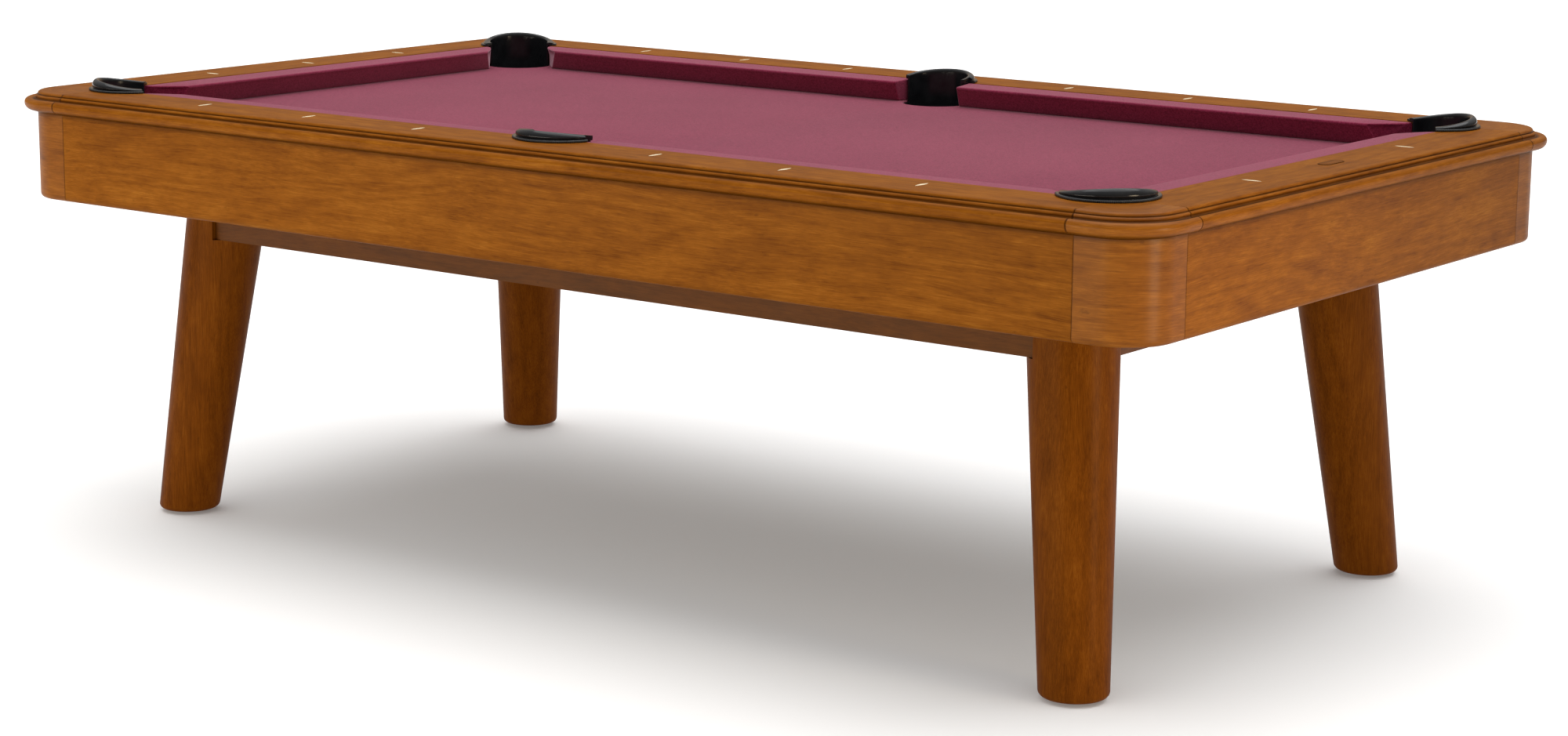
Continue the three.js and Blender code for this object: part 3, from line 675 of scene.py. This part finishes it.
loop_of = {}
for k, l in enumerate(loops[1:]):
    for i in l:
        loop_of[i] = k
tri = []
for f in df:
    c = sum((dv[i] for i in f), Vector((0, 0))) / len(f)
    ks = {next((loop_of[j] for j in ov[i] if j in loop_of), -1 - i) for i in f}
    if inside(c.x, c.y) and len(ks) > 1:
        tri.append(tuple(f))
nv = len(dv)
verts = [(v.x, v.y, BED) for v in dv] + [(v.x, v.y, BED - 1.0) for v in dv]
faces = list(tri) + [tuple(i + nv for i in f[::-1]) for f in tri]
back_of = {i: k for k, group in enumerate(ov) for i in group}
ring0 = [back_of[i] for i in loops[0]]
for i in range(len(ring0)):
    a, b = ring0[i], ring0[(i + 1) % len(ring0)]
    faces.append((a, b, b + nv, a + nv))
for (cx, cy), loop in zip(hole_c, loops[1:]):
    outer, inner = [], []
    for k in range(1, 6):
        a = math.pi / 2 * k / 5
        outer.append((ROLL - 3.0 * math.sin(a), BED - 3.0 + 3.0 * math.cos(a)))
        inner.append((ROLL - 2.1 * math.sin(a), BED - 3.0 + 2.0 * math.cos(a)))
    path = outer + [(ROLL - 3.0, BED - 9), (ROLL - 3.0, BED - 15), (ROLL - 2.1, BED - 15), (ROLL - 2.1, BED - 9)] + inner[::-1]
    prev = [back_of[i] for i in loop]
    for r, z in path:
        o = len(verts)
        verts += [(cx + r * math.cos(2 * math.pi * i / NH), cy + r * math.sin(2 * math.pi * i / NH), z) for i in range(NH)]
        cur = list(range(o, o + NH))
        faces += [(prev[i], prev[(i + 1) % NH], cur[(i + 1) % NH], cur[i]) for i in range(NH)]
        prev = cur
    last = [back_of[i] + nv for i in loop]
    faces += [(prev[i], prev[(i + 1) % NH], last[(i + 1) % NH], last[i]) for i in range(NH)]
flat_area = sum(abs((dv[f[1]] - dv[f[0]]).cross(dv[f[2]] - dv[f[0]])) / 2 for f in tri if len(f) == 3)
flat_area += sum(0 for f in tri if len(f) != 3)
flat_area += 6 * 2 * math.pi * 64.0 * (3.0 * math.pi / 2 + 12)
bed = raw("bed_cloth_stretched", (verts, faces))
finish(bed, m_bed, replaces=("bed_cloth",))

# ---- pockets ---------------------------------------------------------------------
Z0 = SLATE_TOP - 1.5
COLLAR = spline([(70.6, 4.6), (71.9, 7.0), (72.2, 10.2), (71.0, 14.6), (68.2, 18.2), (64.6, 20.0), (61.0, 19.0), (59.0, 15.4), (INNER_R, 9.0)], 4)


def collar_profile(a, lip, half):
    c = math.cos(min(math.pi / 2, abs(a) * math.pi / 2 / (half + 0.19)))
    k = 0.86 * (0.14 + 0.86 * c ** 1.1) if half < 1.7 else 0.12 + 0.88 * c ** 1.7
    out = [(WALL_R, Z0), (WALL_R, T + 0.3)]
    lip = max(lip, 66.0)
    if lip > 74.5:
        out += [(lip - 1.2, T + 0.3), (lip - 0.35, T + 0.7), (lip, T + 1.5), (lip - 0.1, T + 2.9), (lip - 0.8, T + 3.9), (lip - 2.0, T + 4.4)]
        lim = 99.0
    else:
        out += [(lip - 0.5, T + 0.3), (lip - 0.2, T + 0.6), (lip, T + 1.3), (lip, T + 2.4), (lip, T + 3.2), (lip, T + 3.8)]
        lim = lip
    for r, z in [(74.6, 4.4), (71.9, 3.9), (70.7, 4.0)] + COLLAR:
        out.append((min(r, lim), T + (4.5 + (z - 4.5) * k if z > 4.5 else z)))
    out += [(INNER_R, T + 2), (INNER_R, T - 14), (INNER_R, Z0)]
    return out


BUCKET = [(0, BUCKET_BOTTOM), (46, BUCKET_BOTTOM)] + [
    (46 + 16 * math.sin(a), BUCKET_BOTTOM + 16 - 16 * math.cos(a)) for a in (math.pi / 2 * i / 6 for i in range(1, 7))
] + [(WALL_R, Z0), (WALL_R - 0.6, Z0 + 0.5), (INNER_R + 0.6, Z0 + 0.5), (INNER_R, Z0), (INNER_R, BUCKET_BOTTOM + 16)] + [
    (46 + 12.5 * math.sin(a), BUCKET_BOTTOM + 16 - 12.5 * math.cos(a)) for a in (math.pi / 2 * i / 6 for i in range(5, 0, -1))
] + [(46, BUCKET_BOTTOM + 3.5), (0, BUCKET_BOTTOM + 3.5)]


def pocket(cx, cy, sx, sy, outward, half, side):
    def lip_at(a):
        if not side:
            return LIP_R
        # the lip stops on the line where the wood meets the cushions
        edge = WOOD_IN + NY - PS[1] + 0.3
        c = math.cos(a)
        return LIP_R if c * LIP_R > edge else 66.0

    angles = []
    n = 150
    for i in range(n + 1):
        angles.append(-half + 2 * half * i / n)
    if side:
        b = math.acos((WOOD_IN + NY - PS[1] + 0.3) / LIP_R)
        angles = sorted(set(angles + [-b - 1e-4, -b + 1e-4, b - 1e-4, b + 1e-4]))
    rings = []
    eased = [(0.9 * (1 - math.sin(t)), 0.9 * (1 - math.cos(t))) for t in (math.pi / 2 * k / 3 for k in range(3, -1, -1))]

    def ring(a, shape_a, k):
        prof = ccw_keep(collar_profile(shape_a, lip_at(shape_a), half), k)
        return [(cx + sx * r * math.cos(outward + a), cy + sy * r * math.sin(outward + a), z) for r, z in prof]

    def ccw_keep(prof, k):
        if k == 0:
            return prof
        area = sum(p[0] * q[1] - q[0] * p[1] for p, q in zip(prof, prof[1:] + prof[:1]))
        if area > 0:
            return inset(prof, k)
        return inset(prof[::-1], k)[::-1]

    for d, k in eased[:-1]:
        rings.append(ring(-half + d / 66.0, -half, k))
    for a in angles:
        if -half + 0.9 / 66.0 <= a <= half - 0.9 / 66.0:
            rings.append(ring(a, a, 0))
    for d, k in eased[:-1][::-1]:
        rings.append(ring(half - d / 66.0, half, k))
    upper = loft(rings)
    # the wall below the bed and the ball bucket, all the way round
    m = 96
    v, f = [], []
    inner = [p for p in BUCKET if p[0] > 0]
    rr = [[(cx + sx * r * math.cos(2 * math.pi * i / m), cy + sy * r * math.sin(2 * math.pi * i / m), z) for r, z in inner] for i in range(m)]
    v, f = [p for r in rr for p in r], []
    q = len(inner)
    for i in range(m):
        k = (i + 1) % m
        for j in range(q - 1):
            f.append((i * q + j, i * q + j + 1, k * q + j + 1, k * q + j))
    f.append(tuple(i * q for i in range(m)))
    f.append(tuple(i * q + q - 1 for i in range(m))[::-1])
    return upper, (v, f)


def make_pocket(name, cx, cy, sx, sy, outward, half, side):
    # the wrap of the angle is turned away from the collar, inside the mouth
    upper, lower = pocket(cx, cy, sx, sy, outward, half, side)
    ob = raw(name + "_liner", joined(upper, lower))
    me = ob.data
    a = me.attributes.new("around", "FLOAT_VECTOR", "POINT")
    ux, uy = sx * math.cos(outward), sy * math.sin(outward)
    flat = []
    for v in me.vertices:
        dx, dy = v.co.x * 1000 - cx, v.co.y * 1000 - cy
        r = math.hypot(dx, dy)
        z = v.co.z * 1000 - T
        ang = math.atan2(ux * dy - uy * dx, ux * dx + uy * dy)
        flat += [ang * 0.0764, 1.0 if r > 75.6 and 0.0 < z < 4.0 else 0.0, 0.0]
    a.data.foreach_set("vector", flat)
    finish(ob, m_rubber, replaces=(name,), angle=38)


for name, sx, sy in CORNERS:
    make_pocket("pocket_" + name, PC[0] * sx, PC[1] * sy, sx, sy, math.pi / 4, math.radians(107), False)
for name, sy in (("front_centre", -1), ("back_centre", 1)):
    make_pocket("pocket_" + name, 0.0, PS[1] * sy, 1, sy, math.pi / 2, math.radians(95), True)

# ---- sights: slim lens-shaped inlays, and a plain plate -------------------------------


def lens(cx, cy, along_axis, a=17.5, b=3.7, n=24):
    R = (a * a + b * b) / (2 * b)
    pts = []
    for i in range(n):
        t = -a + 2 * a * i / n
        pts.append((t, math.sqrt(R * R - t * t) - (R - b)))
    for i in range(n):
        t = a - 2 * a * i / n
        pts.append((t, -(math.sqrt(R * R - t * t) - (R - b))))
    pts = ccw(pts)
    rings = []
    for k, z in ((0.97, T - 0.9), (1.0, T - 0.02), (0.96, T + 0.10), (0.8, T + 0.20), (0.45, T + 0.27)):
        rings.append([(cx + p * k, cy + q * k, z) if along_axis == 0 else (cx + q * k, cy + p * k, z) for p, q in pts])
    return loft(rings)


count = 0
for sy, side in ((-1, "front"), (1, "back")):
    for x in (-762, -508, -254, 254, 508, 762):
        count += 1
        ob = raw("sight_%s_%d" % (side, count), lens(x, sy * 610.5, 1))
        finish(ob, m_sight)
count = 0
for sx, side in ((-1, "left"), (1, "right")):
    for y in (-254, 0, 254):
        if sx == 1 and y == 0:
            continue
        count += 1
        ob = raw("sight_%s_%d" % (side, count), lens(sx * 1118.5, y, 0))
        finish(ob, m_sight)


def stadium(cx, cy, lx, ly, n=14):
    """Outline with half-round ends, long way along Y."""
    r = lx / 2
    pts = []
    for i in range(n + 1):
        a = math.pi * i / n
        pts.append((r * math.cos(a), ly / 2 - r + r * math.sin(a)))
    for i in range(n + 1):
        a = math.pi + math.pi * i / n
        pts.append((r * math.cos(a), -(ly / 2 - r) + r * math.sin(a)))
    return ccw(pts)


PLATE = stadium(0, 0, 22.0, 64.0)
rings = []
for k, z in ((0.0, T + 0.3), (0.0, T + 0.75), (0.35, T + 1.05), (1.2, T + 1.1), (1.7, T + 0.78), (2.5, T + 0.78), (3.0, T + 1.0)):
    rings.append([(NX + 102.5 + p, q, z) for p, q in inset(PLATE, k)])
ob = raw("medallion_plate", loft(rings))
# darker round the plate's edge and in its groove, a little darker on its top
grained(ob, along_y, lambda c: 0.95 if c.z * 1000 < T + 0.8 else 0.25)
finish(ob, m_plate, replaces=("medallion",), angle=40)

# ---- legs ---------------------------------------------------------------------------


def axis_at(h):
    return LEG_FOOT[0] - LEG_LEAN[0] * h, LEG_FOOT[1] - LEG_LEAN[1] * h


def leg_mesh(n=88):
    prof = []
    for i in range(9):
        a = math.pi / 2 * i / 8
        h = LEG_BASE + LEG_EDGE - LEG_EDGE * math.cos(a)
        prof.append((LEG_R0 + LEG_RATE * h - LEG_EDGE + LEG_EDGE * math.sin(a), h))
    for h in (90, 200, 320, 440, SHOULDER - 30, SHOULDER + 30, LEG_TOP):
        prof.append((LEG_R0 + LEG_RATE * h, h))
    rings = []
    for r, h in prof:
        ax, ay = axis_at(h)
        rings.append([(ax + r * math.cos(2 * math.pi * i / n), ay + r * math.sin(2 * math.pi * i / n), h) for i in range(n)])
    return loft(rings)


AXS = axis_at(SHOULDER)
BOLT_Z = T - 215
BAX = axis_at(BOLT_Z)
D = math.sqrt(0.5)


def rod(r, u0, u1, n=24):
    """Level cylinder along the diagonal, measured inward from the leg's axis."""
    rings = []
    for u in (u0, u1):
        rings.append([(BAX[0] - D * u + D * r * math.cos(a), BAX[1] - D * u - D * r * math.cos(a), BOLT_Z + r * math.sin(a))
                      for a in (2 * math.pi * i / n for i in range(n))])
    return loft(rings)


for name, sx, sy in CORNERS:
    ob = raw("leg_" + name + "_turned", mirror(leg_mesh(), sx, sy))
    tools = [
        block(0, AXS[0] - NOTCH, 0, 1200, SHOULDER, 900),
        block(-10, 1200, -10, AXS[1] - NOTCH, SHOULDER, 901),
        cylinder(LEG_FOOT[0], LEG_FOOT[1], 5.4, -5, 70, 24),
        rod(5.4, -32, 90),
    ]
    cut(ob, [mirror(t, sx, sy) for t in tools])
    grained(ob, along_z)
    finish(ob, m_legs, replaces=("leg_" + name,))

# ---- CAD pieces that stay, with their materials ---------------------------------------


def keep(node, mat, ease=0.0, segments=2):
    ob = nodes[node]
    ob.data.materials.clear()
    ob.data.materials.append(mat)
    if ease:
        b = ob.modifiers.new("ease", "BEVEL")
        b.width, b.segments, b.limit_method, b.angle_limit = ease, segments, "ANGLE", math.radians(35)
        b.harden_normals = False


for n in ("frame_beam_front", "frame_beam_back"):
    keep(n, m_beam_x, 0.0015)
for n in ("frame_beam_left", "frame_beam_right", "cross_beam_left", "cross_beam_right"):
    keep(n, m_beam_y, 0.0015)
for name, sx, sy in CORNERS:
    keep("corner_brace_" + name, m_beam_z, 0.001)
    keep("leg_bolt_" + name, m_steel)
    keep("leveler_foot_" + name, m_foot)
for n in ("slate_left", "slate_centre", "slate_right"):
    keep(n, m_slate)

# ---- floor, light, camera ----------------------------------------------------------------
gr = Graph("floor_pale")
co = gr.node("ShaderNodeTexCoord").outputs["Object"]
gr.set(color=gr.ramp(gr.noise(co, (0.5, 0.5, 0.5), 1), [(0.2, (0.88, 0.88, 0.88)), (0.8, (0.90, 0.90, 0.90))]), rough=0.9, spec=0.0)
gr.bsdf.inputs["Emission Color"].default_value = (1.0, 1.0, 1.0, 1.0)
gr.bsdf.inputs["Emission Strength"].default_value = 0.13
me = bpy.data.meshes.new("floor")
F = 90.0
me.from_pydata([(-F, -F, -0.0004), (F, -F, -0.0004), (F, F, -0.0004), (-F, F, -0.0004)], [], [(0, 1, 2, 3)])
floor = bpy.data.objects.new("floor", me)
bpy.context.scene.collection.objects.link(floor)
me.materials.append(gr.mat)

world = bpy.data.worlds.new("studio")
bpy.context.scene.world = world
world.use_nodes = True
wt = world.node_tree
bg = wt.nodes["Background"]
tc = wt.nodes.new("ShaderNodeTexCoord")
sp = wt.nodes.new("ShaderNodeSeparateXYZ")
rp = wt.nodes.new("ShaderNodeValToRGB")
wt.links.new(tc.outputs["Generated"], sp.inputs[0])
wt.links.new(sp.outputs[2], rp.inputs[0])
rp.color_ramp.elements[0].position, rp.color_ramp.elements[0].color = 0.0, (0.20, 0.15, 0.10, 1)
rp.color_ramp.elements[1].position, rp.color_ramp.elements[1].color = 0.75, (1, 1, 1, 1)
wt.links.new(rp.outputs[0], bg.inputs["Color"])
bg.inputs["Strength"].default_value = 0.80


def area(name, at, to, size, power):
    li = bpy.data.lights.new(name, "AREA")
    li.shape, li.size, li.size_y, li.energy = "RECTANGLE", size[0], size[1], power
    ob = bpy.data.objects.new(name, li)
    bpy.context.scene.collection.objects.link(ob)
    ob.location = at
    ob.rotation_euler = (Vector(to) - Vector(at)).to_track_quat("-Z", "Y").to_euler()
    ob.visible_camera = False
    return ob


sun = bpy.data.lights.new("soft_top", "SUN")
sun.energy, sun.angle = 2.25, math.radians(70)
so = bpy.data.objects.new("soft_top", sun)
bpy.context.scene.collection.objects.link(so)
so.rotation_euler = (math.radians(-12), math.radians(-3), 0)
key = area("key_right", (4.2, -0.46, 0.56), (1.1, -0.74, 0.60), (1.15, 1.08), 4.5)
key.data.spread = math.radians(50)
key.data.color = (1.0, 0.80, 0.54)
fill = area("fill_front", (-0.9, -3.6, 0.60), (0, 0, 0.58), (3.6, 0.44), 33)
fill.data.color = (1.0, 0.93, 0.80)
warm = area("back_warm", (-2.6, 3.9, 1.45), (0, 0, 0.78), (5.0, 1.3), 4)
warm.data.color = (1.0, 0.56, 0.22)

cam = bpy.data.cameras.new("view")
cam.lens, cam.sensor_width, cam.sensor_fit = 75.92, 36.0, "HORIZONTAL"
cam.clip_start, cam.clip_end = 0.05, 300
co_ = bpy.data.objects.new("view", cam)
bpy.context.scene.collection.objects.link(co_)
rv = Vector((1.6976, 0.5724, -0.4577))
R = Matrix.Rotation(rv.length, 3, rv.normalized())
M = (R.transposed() @ Matrix(((1, 0, 0), (0, -1, 0), (0, 0, -1)))).to_4x4()
M.translation = Vector((3.5117, -4.6227, 1.4801))
co_.matrix_world = M
bpy.context.scene.camera = co_
bpy.context.scene.view_settings.view_transform = "Standard"
bpy.context.scene.view_settings.look = "None"

bpy.context.view_layer.update()
